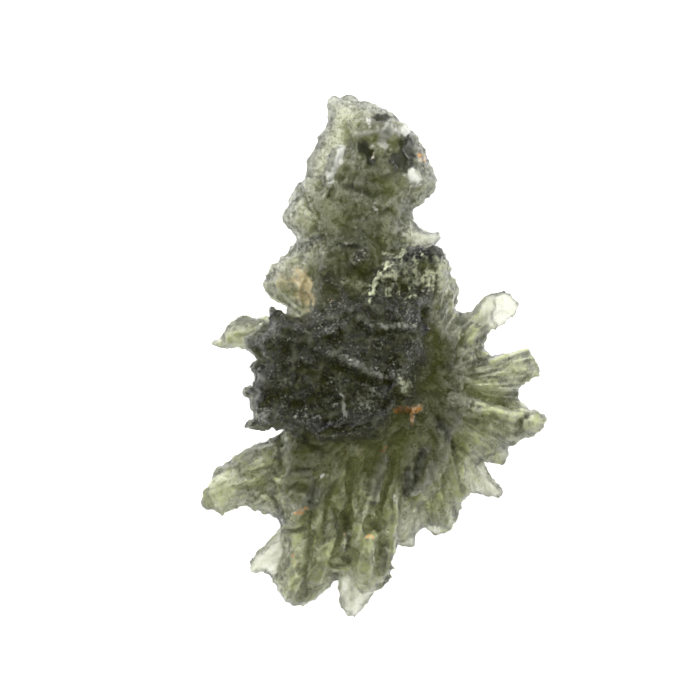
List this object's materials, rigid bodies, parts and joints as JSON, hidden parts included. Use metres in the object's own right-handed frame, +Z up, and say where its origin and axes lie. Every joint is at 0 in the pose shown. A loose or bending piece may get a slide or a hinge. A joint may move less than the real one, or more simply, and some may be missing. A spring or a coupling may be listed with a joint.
{
  "type": "moldavite",
  "caption": "Natural green glass stone, etched into ragged sheets, ribs and spines that fan out below a narrow head, lying on its back.",
  "frame": {"origin": "centre of the stone's box in plan, on the level of the faces that it rests on", "axes": "+Y along the stone towards its narrow head, +X towards the fan of ribs, +Z up, away from what it rests on"},
  "size_m": [0.0248, 0.0378, 0.011],
  "materials": {
    "moldavite_glass": "natural etched skin, satin on the crests and duller in the pits; olive green where thick, nearly clear at thin edges"
  },
  "bodies": {
    "root": {"moldavite": "moldavite_glass"}
  },
  "joints": []
}
